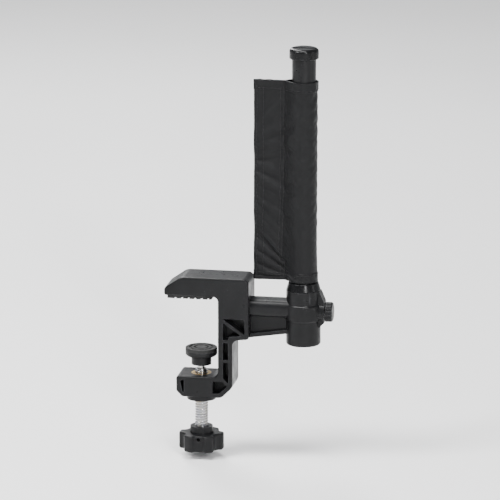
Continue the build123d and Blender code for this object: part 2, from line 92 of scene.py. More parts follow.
class Shader:
    """A Principled material, with short calls for the nodes that feed it.

    Every material's base normal is that of the mesh with its edges rounded by EDGE_R.
    """

    def __init__(self, name, **sockets):
        self.material = bpy.data.materials.new(name)
        self.material.use_nodes = True
        self.tree = self.material.node_tree
        self.surface = self.tree.nodes["Principled BSDF"]
        for socket, value in sockets.items():
            self.surface.inputs[socket.replace("_", " ")].default_value = value
        self.place = self.node("ShaderNodeTexCoord").outputs["Object"]

    def node(self, kind, links=None, **values):
        made = self.tree.nodes.new(kind)
        for name, value in values.items():
            setattr(made, name, value)
        for socket, value in (links or {}).items():
            if isinstance(value, bpy.types.NodeSocket):
                self.tree.links.new(value, made.inputs[socket])
            else:
                made.inputs[socket].default_value = value
        return made

    def math(self, operation, a, b=0.0):
        return self.node("ShaderNodeMath", {0: a, 1: b}, operation=operation).outputs[0]

    def stretched(self, x, y, z, source=None):
        links = {"Vector": source or self.place, "Scale": (x, y, z)}
        return self.node("ShaderNodeMapping", links).outputs[0]

    def noise(self, scale, detail=3.0, roughness=0.55, source=None):
        """Cloudy pattern from 0 to 1. The scale is in features per metre."""
        links = {
            "Vector": source or self.place,
            "Scale": scale,
            "Detail": detail,
            "Roughness": roughness,
        }
        return self.node("ShaderNodeTexNoise", links).outputs["Fac"]

    def band(self, value, low, high, to_low=0.0, to_high=1.0):
        """value, taken from low..high to to_low..to_high and held there outside."""
        links = {
            "Value": value,
            "From Min": low,
            "From Max": high,
            "To Min": to_low,
            "To Max": to_high,
        }
        return self.node("ShaderNodeMapRange", links).outputs["Result"]

    def mix(self, share, a, b):
        """Colour a where share is 0 and b where it is 1."""
        made = self.node("ShaderNodeMix", data_type="RGBA")
        for socket, value in ((0, share), (6, a), (7, b)):
            if isinstance(value, bpy.types.NodeSocket):
                self.tree.links.new(value, made.inputs[socket])
            else:
                made.inputs[socket].default_value = value
        return made.outputs[2]

    def split(self, source=None):
        made = self.node("ShaderNodeSeparateXYZ", {0: source or self.place})
        return made.outputs

    def feed(self, socket, value):
        self.tree.links.new(value, self.surface.inputs[socket])

    def worn_edges(self, reach):
        """1 in rubbed patches along the outer edges, within reach of them, and 0 elsewhere."""
        links = {"Distance": reach}
        made = self.node(
            "ShaderNodeAmbientOcclusion", links, inside=True, only_local=True, samples=8
        )
        edge = self.band(made.outputs["AO"], 0.86, 0.5)
        rubbed = self.band(self.noise(170.0, 5.0, 0.65), 0.42, 0.62)
        return self.math("MULTIPLY", edge, rubbed)

    def bump(self, *layers):
        """Layers of (height, depth in metres), one on top of the other."""
        normal = self.node("ShaderNodeBevel", {"Radius": EDGE_R}, samples=6).outputs[0]
        for height, depth in layers:
            links = {"Height": height, "Distance": depth, "Strength": 1.0, "Normal": normal}
            normal = self.node("ShaderNodeBump", links).outputs["Normal"]
        self.feed("Normal", normal)


def grey(value, tint=(1.0, 1.0, 1.0)):
    return (value * tint[0], value * tint[1], value * tint[2], 1.0)


COOL = (1.0, 1.02, 1.1)


def scratches(shader, count, length):
    """Fine scuffs of mixed direction, from 0 to 1."""
    lines = None
    for along, across, tilt in ((count, 1 / length, 0.25), (1 / length, count, -0.4)):
        turn, stretch = (tilt, tilt / 2, tilt), (along, across, along)
        links = {"Vector": shader.place, "Rotation": turn, "Scale": stretch}
        turned = shader.node("ShaderNodeMapping", links).outputs[0]
        streak = shader.band(shader.noise(1.0, 2.0, 0.4, turned), 0.66, 0.74)
        lines = streak if lines is None else shader.math("MAXIMUM", lines, streak)
    patches = shader.band(shader.noise(35.0, 2.0), 0.52, 0.68)
    return shader.math("MULTIPLY", lines, patches)


def moulded(name, tone, roughness, grain, parting=None):
    """Black moulded plastic: spark-eroded grain, flow clouds, scuffs and a parting line."""
    shader = Shader(name, IOR=1.5, Specular_IOR_Level=0.16)
    clouds = shader.noise(28.0, 4.0)
    scuffs = scratches(shader, 900.0, 0.02)
    worn = shader.mix(scuffs, grey(tone * 0.8, COOL), grey(tone * 6, COOL))
    colour = shader.mix(shader.band(clouds, 0.35, 0.7, 0.0, 0.6), worn, grey(tone * 2, COOL))
    wear = shader.math("MULTIPLY", shader.worn_edges(0.8 * MM), 0.6)
    shader.feed("Base Color", shader.mix(wear, colour, grey(tone * 12, COOL)))
    fine = shader.noise(2600.0, 2.0, 0.6)
    gloss = shader.band(shader.noise(90.0, 3.0), 0.3, 0.7, roughness - 0.08, roughness + 0.09)
    shader.feed("Roughness", shader.math("ADD", gloss, shader.math("MULTIPLY", scuffs, 0.03)))
    layers = [(fine, grain), (shader.noise(60.0, 2.0), 0.07 * MM)]
    if parting is not None:
        off_line = shader.math("ABSOLUTE", shader.math("SUBTRACT", shader.split()["Y"], parting))
        layers.append((shader.band(off_line, 0.28 * MM, 0.1 * MM), 0.1 * MM))
    shader.bump(*layers)
    return shader.material


def powder_coat(name, tone):
    """Semi-gloss black paint on the post, with orange peel and rubbed patches."""
    shader = Shader(name, IOR=1.5, Specular_IOR_Level=0.2)
    clouds = shader.band(shader.noise(45.0, 3.0), 0.35, 0.7)
    upright = shader.stretched(1.0, 1.0, 0.06)
    rubs = shader.band(shader.noise(1100.0, 2.0, 0.5, upright), 0.62, 0.72)
    rubs = shader.math("MULTIPLY", rubs, shader.band(shader.noise(30.0), 0.5, 0.64))
    base = shader.mix(clouds, grey(tone, COOL), grey(tone * 1.35, COOL))
    shader.feed("Base Color", shader.mix(rubs, base, grey(tone * 3.0, COOL)))
    shader.feed("Roughness", shader.band(shader.noise(140.0, 2.0), 0.3, 0.7, 0.26, 0.36))
    shader.bump((shader.noise(850.0, 1.5), 0.03 * MM), (shader.noise(3200.0, 1.0), 0.006 * MM))
    return shader.material


def rubber(name, tone):
    shader = Shader(name, IOR=1.5, Specular_IOR_Level=0.35)
    dust = shader.band(shader.noise(160.0, 6.0, 0.65), 0.5, 0.8)
    shader.feed("Base Color", shader.mix(dust, grey(tone), grey(tone * 2.2, (1.05, 1.0, 0.95))))
    shader.feed("Roughness", shader.band(shader.noise(420.0, 3.0), 0.3, 0.7, 0.62, 0.82))
    shader.bump((shader.noise(1800.0, 4.0, 0.7), 0.05 * MM))
    return shader.material


def metal(name, colour, stain, roughness, turned_along=None):
    """Plated or turned metal. turned_along is the axis of its fine turning marks."""
    shader = Shader(name, Metallic=1.0)
    clouds = shader.band(shader.noise(240.0, 4.0), 0.35, 0.7)
    spots = shader.band(shader.noise(1500.0, 3.0, 0.6), 0.62, 0.75)
    plated = shader.mix(clouds, (*colour, 1.0), (*stain, 1.0))
    dull = tuple(0.55 * c for c in colour)
    shader.feed("Base Color", shader.mix(shader.math("MULTIPLY", spots, 0.5), plated, (*dull, 1.0)))
    if turned_along is None:
        marks = shader.noise(1300.0, 3.0, 0.6)
    else:
        squeezed = [60.0, 60.0, 60.0]
        squeezed["XYZ".index(turned_along)] = 9000.0
        marks = shader.noise(1.0, 2.0, 0.5, shader.stretched(*squeezed))
    shader.feed("Roughness", shader.band(marks, 0.3, 0.7, roughness - 0.06, roughness + 0.1))
    shader.bump((marks, 0.008 * MM))
    return shader.material


def nylon(name):
    shader = Shader(name, IOR=1.53, Subsurface_Weight=0.15, Subsurface_Scale=0.002)
    tone = shader.band(shader.noise(300.0, 3.0), 0.3, 0.7)
    shader.feed("Base Color", shader.mix(tone, (0.74, 0.71, 0.62, 1.0), (0.84, 0.82, 0.75, 1.0)))
    shader.feed("Roughness", shader.band(shader.noise(900.0), 0.3, 0.7, 0.4, 0.55))
    shader.bump((shader.noise(2500.0), 0.01 * MM))
    return shader.material


THREAD_PITCH = 0.65 * MM  # of the cloth's threads


def woven(name, tone):
    """Plain-woven black polyester. The weave follows the cloth's own flat coordinates."""
    shader = Shader(name, IOR=1.5, Specular_IOR_Level=0.16)
    shader.surface.inputs["Sheen Weight"].default_value = 0.02
    shader.surface.inputs["Sheen Roughness"].default_value = 0.4
    flat = shader.node("ShaderNodeUVMap", uv_map="cloth").outputs[0]
    across, up = shader.split(flat)["X"], shader.split(flat)["Y"]
    warp = shader.math("SINE", shader.math("MULTIPLY", across, pi / THREAD_PITCH))
    weft = shader.math("SINE", shader.math("MULTIPLY", up, pi / THREAD_PITCH))
    warp_on_top = shader.band(shader.math("MULTIPLY", warp, weft), -0.08, 0.08)
    warp_round, weft_round = shader.math("ABSOLUTE", warp), shader.math("ABSOLUTE", weft)
    over = shader.math("MULTIPLY", warp_round, shader.math("POWER", weft_round, 0.35))
    under = shader.math("MULTIPLY", weft_round, shader.math("POWER", warp_round, 0.35))
    links = {0: warp_on_top, 2: under, 3: over}
    height = shader.node("ShaderNodeMix", links, data_type="FLOAT").outputs[0]
    uneven = shader.noise(1.0, 2.0, 0.5, shader.stretched(90.0, 2600.0, 1.0, flat))
    uneven_up = shader.noise(1.0, 2.0, 0.5, shader.stretched(2600.0, 90.0, 1.0, flat))
    slub = shader.math("MULTIPLY", shader.math("ADD", uneven, uneven_up), 0.5)
    clouds = shader.band(shader.noise(70.0, 5.0, 0.6), 0.35, 0.75)
    # Painted light in the weave: by the weave's height, the raised thread crests get a lighter,
    # bluish painted highlight and the hollows between threads a darker painted shade
    weave_hollow_painted_shade, light = grey(tone * 0.55, COOL), grey(tone * 1.5, (1.0, 1.03, 1.2))
    thread = shader.mix(shader.band(height, 0.15, 0.9), weave_hollow_painted_shade, light)
    thread = shader.mix(shader.band(slub, 0.4, 0.62, 0.0, 0.45), thread, grey(tone * 2.0, COOL))
    dusty = shader.mix(shader.math("MULTIPLY", clouds, 0.35), thread, grey(tone * 2.2, COOL))
    shader.feed("Base Color", dusty)
    shader.feed("Roughness", shader.band(slub, 0.35, 0.65, 0.36, 0.5))
    shader.bump((shader.noise(180.0, 3.0), 0.12 * MM), (height, 0.09 * MM), (slub, 0.04 * MM))
    return shader.material


def sewing_thread(name, tone):
    shader = Shader(name, IOR=1.5, Specular_IOR_Level=0.25)
    twist = shader.noise(4200.0, 2.0)
    shader.feed("Base Color", shader.mix(twist, grey(tone, COOL), grey(tone * 2.0, COOL)))
    shader.feed("Roughness", shader.band(twist, 0.3, 0.7, 0.4, 0.6))
    shader.bump((twist, 0.04 * MM))
    return shader.material


MOULDED = moulded("moulded_black", 0.005, 0.34, 0.03 * MM, parting=0.0)
MOULDED_PLAIN = moulded("moulded_black_plain", 0.005, 0.36, 0.03 * MM)
GLOSS = moulded("gloss_black", 0.004, 0.24, 0.010 * MM)
KNOB = moulded("knob_black", 0.0055, 0.42, 0.04 * MM)
PAD_PLATE = moulded("pad_plate", 0.007, 0.4, 0.025 * MM)
PAINT = powder_coat("black_paint", 0.005)
RUBBER = rubber("black_rubber", 0.009)
ZINC = metal("zinc_steel", (0.42, 0.43, 0.46), (0.5, 0.48, 0.43), 0.25)
ZINC_TURNED = metal("zinc_steel_turned", (0.42, 0.43, 0.46), (0.5, 0.48, 0.43), 0.22, "Z")
BRASS = metal("brass", (0.72, 0.51, 0.22), (0.6, 0.42, 0.2), 0.24, "Z")
NYLON = nylon("nylon")
CLOTH_MATERIAL = woven("black_fabric", 0.003)
STITCHES = sewing_thread("sleeve_thread", 0.006)

NODE_MATERIALS = {
    "clamp_frame": MOULDED,
    "barrel_end_cap": MOULDED_PLAIN,
    "clamp_knob_cap": MOULDED_PLAIN,
    "post_top_cap": GLOSS,
    "barrel_bush": GLOSS,
    "post_bottom_plug": GLOSS,
    "clamp_knob": KNOB,
    "lock_knob": KNOB,
    "pressure_pad": PAD_PLATE,
    "post_tube": PAINT,
    "upper_jaw_pad": RUBBER,
    "pressure_pad_rubber": RUBBER,
    "clamp_knob_pin": ZINC,
    "swivel_ball": ZINC,
    "pad_retaining_ring": ZINC_TURNED,
    "post_cap_screw": ZINC,
    "jaw_thread_insert": BRASS,
    "lock_thread_insert": BRASS,
    "lock_shoe": NYLON,
}


def dress(obj, material):
    obj.data.materials.clear()
    obj.data.materials.append(material)


for node, material in NODE_MATERIALS.items():
    dress(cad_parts[node], material)


# ---- Mesh helpers ---------------------------------------------------------------
def new_piece(name, points, faces, material):
    mesh = bpy.data.meshes.new(name)
    mesh.from_pydata([tuple(p) for p in points], [], faces)
    mesh.shade_smooth()
    piece = bpy.data.objects.new(name, mesh)
    bpy.context.scene.collection.objects.link(piece)
    dress(piece, material)
    return piece


def grid_faces(rows, columns, closed, start=0, flip=False):
    """Quads between rows of points; a closed grid joins its last column to its first."""
    faces = []
    for r in range(rows - 1):
        for c in range(columns if closed else columns - 1):
            here, across = start + r * columns + c, start + r * columns + (c + 1) % columns
            quad = [here, across, across + columns, here + columns]
            faces.append(quad[::-1] if flip else quad)
    return faces


def face_outward(piece, weld=None):
    """Turns all faces outward, after merging points closer than weld, if that is given."""
    work = bmesh.new()
    work.from_mesh(piece.data)
    if weld is not None:
        bmesh.ops.remove_doubles(work, verts=work.verts, dist=weld)
    bmesh.ops.recalc_face_normals(work, faces=work.faces)
    work.to_mesh(piece.data)
    work.free()


# ---- Threaded screws --------------------------------------------------------------
TURN_STEPS, PITCH_STEPS = 64, 14
HALF_CREST, FLANK = 0.12, 0.2  # widths along the thread's section, as shares of its pitch


def threaded_bar(name, below, above, crest, pitch, depth, place, material):
    """A bar about the Z axis with a thread between two plain ends.

    below and above are (z, radius) rings going up, and the thread runs from the last
    ring below to the first one above. place takes a point to where it belongs.
    """
    low, high = below[-1][0], above[0][0]
    rows = [[ring] * (TURN_STEPS + 1) for ring in below]
    for k in range(int(((high - low) / pitch + 1) * PITCH_STEPS) + 2):
        off_crest = abs((k / PITCH_STEPS) % 1 - 0.5)
        groove = depth * min(max((off_crest - HALF_CREST) / FLANK, 0.0), 1.0)
        row = []
        for i in range(TURN_STEPS + 1):
            z = low + pitch * (k / PITCH_STEPS + i / TURN_STEPS - 1)
            run_out = depth - max(min(z - low, high - z), 0.0)
            row.append((min(max(z, low), high), crest - max(groove, run_out)))
        rows.append(row)
    rows += [[ring] * (TURN_STEPS + 1) for ring in above]
    points = []
    for row in rows:
        for i, (z, radius) in enumerate(row):
            turn = 2 * pi * (i % TURN_STEPS) / TURN_STEPS
            points.append(place(radius * cos(turn), radius * sin(turn), z))
    columns = TURN_STEPS + 1
    last = (len(rows) - 1) * columns
    faces = grid_faces(len(rows), columns, closed=False)
    faces.append(list(range(TURN_STEPS))[::-1])
    faces.append([last + i for i in range(TURN_STEPS)])
    piece = new_piece(name, points, faces, material)
    face_outward(piece, weld=1e-7)
    piece.data.set_sharp_from_angle(angle=radians(35))
    return piece


SCREW_R = (SCREW_HI.x - SCREW_LO.x) / 2
SPIGOT_R = 2.5 * MM
SHOULDER_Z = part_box("pressure_pad")[0].z - 3.3 * MM  # where the spigot under the pad starts
clamp_screw = threaded_bar(
    "clamp_screw_threaded",
    below=[(SCREW_LO.z, SCREW_R), (KNOB_HI.z + 0.6 * MM, SCREW_R)],
    above=[
        (SHOULDER_Z - 0.8 * MM, SCREW_R - 0.9 * MM),
        (SHOULDER_Z - 0.3 * MM, SCREW_R - 1.0 * MM),
        (SHOULDER_Z, SCREW_R - 1.4 * MM),
        (SHOULDER_Z, SPIGOT_R + 0.2 * MM),
        (SHOULDER_Z + 0.2 * MM, SPIGOT_R),
        (SCREW_HI.z, SPIGOT_R),
    ],
    crest=SCREW_R,
    pitch=2 * MM,
    depth=0.9 * MM,
    place=lambda x, y, z: (x, y, z),
    material=ZINC_TURNED,
)
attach(clamp_screw, "screw")
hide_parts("clamp_screw")

LOCK_R = (LOCK_HI.z - LOCK_LO.z) / 2
LOCK_TIP_R, LOCK_TIP = 1.25 * MM, 1.4 * MM  # radius and length of the tip in the nylon shoe
LOCK_ROOT_R = LOCK_R - 0.55 * MM
lock_screw = threaded_bar(
    "lock_screw_threaded",
    below=[
        (LOCK_LO.x, LOCK_TIP_R - 0.2 * MM),
        (LOCK_LO.x + 0.2 * MM, LOCK_TIP_R),
        (LOCK_LO.x + LOCK_TIP, LOCK_TIP_R),
        (LOCK_LO.x + LOCK_TIP, LOCK_ROOT_R),
    ],
    above=[(LOCK_HI.x - 3 * MM, LOCK_ROOT_R), (LOCK_HI.x, LOCK_ROOT_R)],
    crest=LOCK_R,
    pitch=1 * MM,
    depth=0.55 * MM,
    place=lambda y, z, x: (x, y, LOCK_Z + z),
    material=ZINC,
)
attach(lock_screw, "lock")
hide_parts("lock_screw")

# ---- Net sleeve: the cloth's middle surface, and its folds by simulation ----------
CLOTH = 0.5 * MM
POCKET_R = SLEEVE_HI.y - 0.5 * MM  # middle of the cloth round the post
SEAM_OUT = 14.2 * MM  # from the post's axis to the pocket's seam
SEAM_X = POST_X - SEAM_OUT
FREE_EDGE = 0.4 * MM  # left for the fold of the flap's free edge
FLAP_COLUMNS, POCKET_COLUMNS, HEIGHT_ROWS = 20, 56, 124
SLACK = 0.065  # spare length of the flap, as a share of its height
POCKET_SLACK = 0.25  # of that slack, left on the pocket's far side
SMOOTH_SHARE = 0.3  # of the height, at the top, that has no spare length
SIM_SCALE = 20.0  # the solver's own margins suit a sheet of a few metres
SQUEEZE_FRAMES, SIM_FRAMES = 30, 44
EDGE_WAVES = ((0.6, 0.047, 0.8), (0.4, 0.0273, 2.1))  # (share, length, phase) of each
WAVE_HEIGHT = 1.4 * MM
UNEVENNESS = 0.02 * MM  # of the cloth at the start, so that its folds fall irregularly


def pocket_outline(radius):
    """Points (x, y) round the pocket: from its seam, past the front, round and back."""
    bend = acos(radius / SEAM_OUT)
    straight = sqrt(SEAM_OUT**2 - radius**2)
    arc = radius * 2 * (pi - bend)
    length = 2 * straight + arc
    points = []
    for i in range(POCKET_COLUMNS + 1):
        s = length * i / POCKET_COLUMNS
        side = -1.0
        if s > length / 2:
            s, side = length - s, 1.0
        if s < straight:
            t = s / straight
            x = -SEAM_OUT + t * (SEAM_OUT - radius * cos(bend))
            y = t * radius * sin(bend)
        else:
            turn = pi - bend - (s - straight) / radius
            x, y = radius * cos(turn), radius * sin(turn)
        points.append((POST_X + x, side * y))
    return points, length


POCKET_POINTS, POCKET_LENGTH = pocket_outline(POCKET_R)
FLAP_LENGTH = SEAM_X - SLEEVE_LO.x - FREE_EDGE
FLAP_X = [
    SLEEVE_LO.x + FREE_EDGE + FLAP_LENGTH * i / FLAP_COLUMNS for i in range(FLAP_COLUMNS + 1)
]
ROW_POINTS = np.array([(x, 0.0) for x in FLAP_X] + POCKET_POINTS[1:-1])
COLUMNS = len(ROW_POINTS)
ROW_SLACK = 1 - (1 - POCKET_SLACK) * smooth((ROW_POINTS[:, 0] - SEAM_X) / SEAM_OUT)


def hung_height(share):
    """Height of a row as the sleeve hangs, from the row's share of the cloth's own height."""
    return SLEEVE_LO.z + (SLEEVE_HI.z - SLEEVE_LO.z) * share


def cloth_height(share, slack=1.0):
    """Height of the same row before the cloth is gathered: the lower part has the slack."""
    spare = SLACK * slack * (SLEEVE_HI.z - SLEEVE_LO.z)
    return hung_height(share) - spare * (1 - min(share / (1 - SMOOTH_SHARE), 1.0))


SHARES = [r / HEIGHT_ROWS for r in range(HEIGHT_ROWS + 1)]


def flap_wave(z):
    """Sideways wave of the flap's free edge, which the net's own edge gives it."""
    height = (z - SLEEVE_LO.z) / (SLEEVE_HI.z - SLEEVE_LO.z)
    wave = sum(share * sin(2 * pi * z / length + phase) for share, length, phase in EDGE_WAVES)
    fade = smooth(height / 0.08) * smooth((1 - height) / 0.35)
    return WAVE_HEIGHT * wave * float(fade)


def sheet_points(gathered):
    """The sheet's points, row by row from the bottom: flat and long, or gathered."""
    rows = []
    for share in SHARES:
        z = np.full(COLUMNS, hung_height(share)) if gathered else cloth_height(share, ROW_SLACK)
        row = np.column_stack([ROW_POINTS, z])
        if gathered:
            wave = flap_wave(hung_height(share))
            row[: FLAP_COLUMNS + 1, 1] += wave * np.linspace(1, 0, FLAP_COLUMNS + 1)
        rows.append(row)
    return np.array(rows)


def sheet_faces():
    """Flap and pocket as one sheet, joined along the pocket's seam."""
    faces = []
    for r in range(HEIGHT_ROWS):
        here, above = r * COLUMNS, (r + 1) * COLUMNS
        ring = list(range(FLAP_COLUMNS, COLUMNS)) + [FLAP_COLUMNS]
        for path in (list(range(FLAP_COLUMNS + 1)), ring):
            for a, b in zip(path, path[1:]):
                faces.append([here + a, here + b, above + b, above + a])
    return faces


def post_stand_in():
    """The post as a plain tube that the simulated cloth can't enter."""
    sides, rows, past_sleeve = 48, 16, 20 * MM
    height = SLEEVE_HI.z - SLEEVE_LO.z + 2 * past_sleeve
    points = []
    for r in range(rows):
        z = SLEEVE_LO.z - past_sleeve + height * r / (rows - 1)
        for i in range(sides):
            turn = 2 * pi * i / sides
            points.append((POST_X + POST_R * cos(turn), POST_R * sin(turn), z))
    points = np.array(points) * SIM_SCALE
    return new_piece("post_stand_in", points, grid_faces(rows, sides, closed=True), PAINT)


def gather_cloth():
    """Simulates the sleeve as its ends close up and the net holds its flap's edge."""
    start, end = sheet_points(gathered=False), sheet_points(gathered=True)
    rng = np.random.default_rng(7)
    start = start + rng.normal(0.0, UNEVENNESS, start.shape)
    sheet = new_piece("sleeve_sim", start.reshape(-1, 3) * SIM_SCALE, sheet_faces(), PAINT)
    ids = np.arange((HEIGHT_ROWS + 1) * COLUMNS).reshape(HEIGHT_ROWS + 1, COLUMNS)
    held = np.unique(np.concatenate([ids[0], ids[-1], ids[:, 0]]))
    sheet.vertex_groups.new(name="held").add([int(i) for i in held], 1.0, "REPLACE")
    sheet.shape_key_add(name="long")
    gathered = sheet.shape_key_add(name="gathered")
    gathered.data.foreach_set("co", (end.reshape(-1, 3) * SIM_SCALE).astype(np.float32).ravel())
    for frame_number, value in ((1, 0.0), (SQUEEZE_FRAMES, 1.0)):
        gathered.value = value
        gathered.keyframe_insert("value", frame=frame_number)

    post = post_stand_in()
    post.modifiers.new("collision", "COLLISION")
    post.collision.thickness_outer = 0.004
    post.collision.cloth_friction = 3.0

    cloth = sheet.modifiers.new("cloth", "CLOTH")
    settings = cloth.settings
    settings.quality = 8
    settings.mass = 0.2
    settings.air_damping = 2.0
    settings.tension_stiffness = settings.compression_stiffness = 30.0
    settings.shear_stiffness = 12.0
    settings.bending_stiffness = 1.2
    settings.tension_damping = settings.compression_damping = 10.0
    settings.bending_damping = 1.0
    settings.vertex_group_mass = "held"
    settings.pin_stiffness = 5.0
    settings.effector_weights.gravity = 0.02
    cloth.collision_settings.distance_min = 0.008
    cloth.collision_settings.collision_quality = 3
    cloth.point_cache.frame_start, cloth.point_cache.frame_end = 1, SIM_FRAMES
    for frame_number in range(1, SIM_FRAMES + 1):
        bpy.context.scene.frame_set(frame_number)
    done = sheet.evaluated_get(bpy.context.evaluated_depsgraph_get())
    moved = np.zeros(len(sheet.data.vertices) * 3)
    done.data.vertices.foreach_get("co", moved)
    bpy.context.scene.frame_set(1)
    for helper in (sheet, post):
        bpy.data.objects.remove(helper)
    return moved.reshape(HEIGHT_ROWS + 1, COLUMNS, 3) / SIM_SCALE


# ---- Net sleeve: two layers of cloth with hems and seams ---------------------------
HEM = 7.5 * MM  # height of the turned hems at the sleeve's two ends
HEM_STITCH = 6.2 * MM  # from the sleeve's end to the hem's stitches
EDGE_STITCHES = (2.0 * MM, 7.0 * MM)  # rows along the flap's free edge
SEAM_STITCHES = (0.8 * MM, 3.2 * MM)  # rows beside the pocket, measured from its seam
HEM_RISE = 0.42 * MM  # how far a hem stands out from the cloth
HEM_DENT, HEM_DENT_HALF = 0.16 * MM, 0.7 * MM  # under the hem's stitches
SEAM_DENT, SEAM_DENT_HALF = 0.1 * MM, 0.8 * MM
STITCH_LENGTH, STITCH_STEP = 2.5 * MM, 3.1 * MM
STITCH_R = 0.21 * MM
STITCH_RISE, STITCH_SINK = 0.24 * MM, 0.06 * MM  # arch of a stitch, and how deep its ends lie
STITCH_WIDTHS = np.array([0.55, 0.9, 1.0, 1.0, 1.0, 0.9, 0.55])  # along it, as shares of STITCH_R
LAYER_GAP = 0.75 * MM  # from the flap's middle to that of each layer, where they stand apart
PRESSED_GAP = 0.45  # of LAYER_GAP, where the layers are sewn together
ROW_STEP = 1.6 * MM  # between the rows of points up the sleeve, away from the hems
END_ROWS_MM = (0, 0.35, 0.9, 2, 3.2, 4.4, 5.4, 5.9, 6.2, 6.5, 7, 7.4, 7.6, 8, 8.7)


def finer_rows(points):
    """The simulated rows again, with narrow ones (END_ROWS_MM) over the hems.

    Also returns each row's height in the cloth laid flat.
    """
    heights = np.array([cloth_height(s) for s in SHARES])
    heights -= heights[0]
    total = heights[-1]
    between = list(np.arange(HEM + 2 * MM, total - HEM - 2 * MM, ROW_STEP))
    near_end = [row * MM for row in END_ROWS_MM]
    wanted = np.array(sorted(near_end + between + [total - row for row in near_end]))
    fine = np.empty((len(wanted), points.shape[1], 3))
    for c in range(points.shape[1]):
        for k in range(3):
            fine[:, c, k] = np.interp(wanted, heights, points[:, c, k])
    return fine, wanted


def grid_normals(grid, closed):
    """Unit normals of a grid of points, by differences along and across it."""
    up = np.gradient(grid, axis=0)
    if closed:
        across = np.roll(grid, -1, axis=1) - np.roll(grid, 1, axis=1)
    else:
        across = np.gradient(grid, axis=1)
    normal = np.cross(across, up)
    return normal / np.maximum(np.linalg.norm(normal, axis=2, keepdims=True), 1e-12)


def ring_of_cloth(sheet):
    """The sleeve's section, row by row: front layer, round the pocket, back layer, free edge."""
    flap = sheet[:, : FLAP_COLUMNS + 1]
    pocket = sheet[:, FLAP_COLUMNS + 1 :]
    facing = grid_normals(flap, closed=False)
    along = np.linspace(0.0, FLAP_LENGTH, FLAP_COLUMNS + 1)
    # puff is 0 where the layers are pressed together and 1 where they stand apart
    puff = smooth(along / (1.5 * MM)) * smooth((FLAP_LENGTH - along) / (3 * MM))
    for offset in EDGE_STITCHES:
        puff -= 0.45 * bump_at(along, offset, 0.9 * MM)
    gap = (PRESSED_GAP + (1 - PRESSED_GAP) * puff) * LAYER_GAP
    front = flap + facing * gap[None, :, None]
    back = flap - facing * gap[None, :, None]
    edge = flap[:, :1] - (flap[:, 1:2] - flap[:, :1]) * 0.3
    return np.concatenate([front, pocket, back[:, ::-1], edge], axis=1)


FRONT_COLUMNS = FLAP_COLUMNS + 1
BACK_START = FRONT_COLUMNS + POCKET_COLUMNS - 1  # first column of the flap's back layer


def outer_thickness(flat_across, flat_up):
    """How far the outer face lies from the cloth's middle: more at hems, less under stitches."""
    from_edge = np.minimum(flat_up, flat_up[-1] - flat_up)
    hem = 1 - smooth((from_edge - HEM + 0.25 * MM) / (0.5 * MM))
    groove = bump_at(from_edge, HEM_STITCH, HEM_DENT_HALF)
    pucker = 0.5 + 0.5 * np.cos(2 * pi * flat_across / STITCH_STEP)
    dent = HEM_DENT * groove[:, None] * (0.6 + 0.4 * pucker[None, :])
    thick = CLOTH / 2 + HEM_RISE * hem[:, None] - dent
    from_seam = np.minimum(
        abs(flat_across - FLAP_LENGTH), abs(flat_across - (FLAP_LENGTH + POCKET_LENGTH))
    )
    seam = bump_at(from_seam, SEAM_STITCHES[0], SEAM_DENT_HALF)
    return thick - SEAM_DENT * seam[None, :] * (1 - hem[:, None])


def shell_faces(rows, columns):
    """An outer and an inner tube of rows by columns points, joined at both ends."""
    count = rows * columns
    faces = grid_faces(rows, columns, closed=True)
    faces += grid_faces(rows, columns, closed=True, start=count, flip=True)
    top = (rows - 1) * columns
    for c in range(columns):
        d = (c + 1) % columns
        faces.append([d, c, count + c, count + d])
        faces.append([top + c, top + d, count + top + d, count + top + c])
    return faces


def lay_flat(sleeve, flat_across, flat_up, across_end):
    """Gives every face its place in the flat cloth, in metres, as the weave's coordinates."""
    rows, columns = len(flat_up), len(flat_across)
    flat = sleeve.data.uv_layers.new(name="cloth")
    for polygon in sleeve.data.polygons:
        ids = [v % (rows * columns) for v in polygon.vertices]
        wraps = max(i % columns for i in ids) - min(i % columns for i in ids) > columns // 2
        for loop, i in zip(polygon.loop_indices, ids):
            u = flat_across[i % columns]
            if wraps and i % columns == 0:
                u = across_end
            flat.data[loop].uv = (u, flat_up[i // columns])


def build_sleeve():
    """The sleeve, and its outer face's points, normals and flat coordinates for the stitches."""
    sheet, flat_up = finer_rows(gather_cloth())
    ring = ring_of_cloth(sheet)
    rows, columns = ring.shape[:2]
    outward = grid_normals(ring, closed=True)
    centre = ring.mean(axis=1, keepdims=True)
    if np.sum((ring - centre) * outward) < 0:
        outward = -outward

    section = ring[rows // 2]
    steps = np.linalg.norm(np.diff(section, axis=0, append=section[:1]), axis=1)
    flat_across = np.concatenate([[0.0], np.cumsum(steps)])[:-1]
    outer = ring + outward * outer_thickness(flat_across, flat_up)[:, :, None]
    inner = ring - outward * (CLOTH / 2)
    points = np.concatenate([outer.reshape(-1, 3), inner.reshape(-1, 3)])
    sleeve = new_piece("net_sleeve_cloth", points, shell_faces(rows, columns), CLOTH_MATERIAL)
    lay_flat(sleeve, flat_across, flat_up, flat_across[-1] + steps[-1])
    face_outward(sleeve)
    smoother = sleeve.modifiers.new("smoother", "SUBSURF")
    smoother.levels = smoother.render_levels = 1
    smoother.uv_smooth = "NONE"
    return sleeve, outer, outward, flat_across, flat_up


def along_line(line, normals, stitches):
    """Stitches along a line of points: each a short thread that dips into the cloth."""
    length = np.concatenate([[0.0], np.cumsum(np.linalg.norm(np.diff(line, axis=0), axis=1))])
    count = int((length[-1] - STITCH_STEP) / STITCH_STEP)
    margin = (length[-1] - count * STITCH_STEP) / 2
    share = np.linspace(0.0, 1.0, len(STITCH_WIDTHS))
    rise = np.sin(share * pi) * STITCH_RISE - STITCH_SINK
    for k in range(count):
        at = margin + k * STITCH_STEP + share * STITCH_LENGTH
        middle = np.stack([np.interp(at, length, line[:, i]) for i in range(3)], axis=1)
        up = np.stack([np.interp(at, length, normals[:, i]) for i in range(3)], axis=1)
        stitches.append((middle + up * rise[:, None], up))


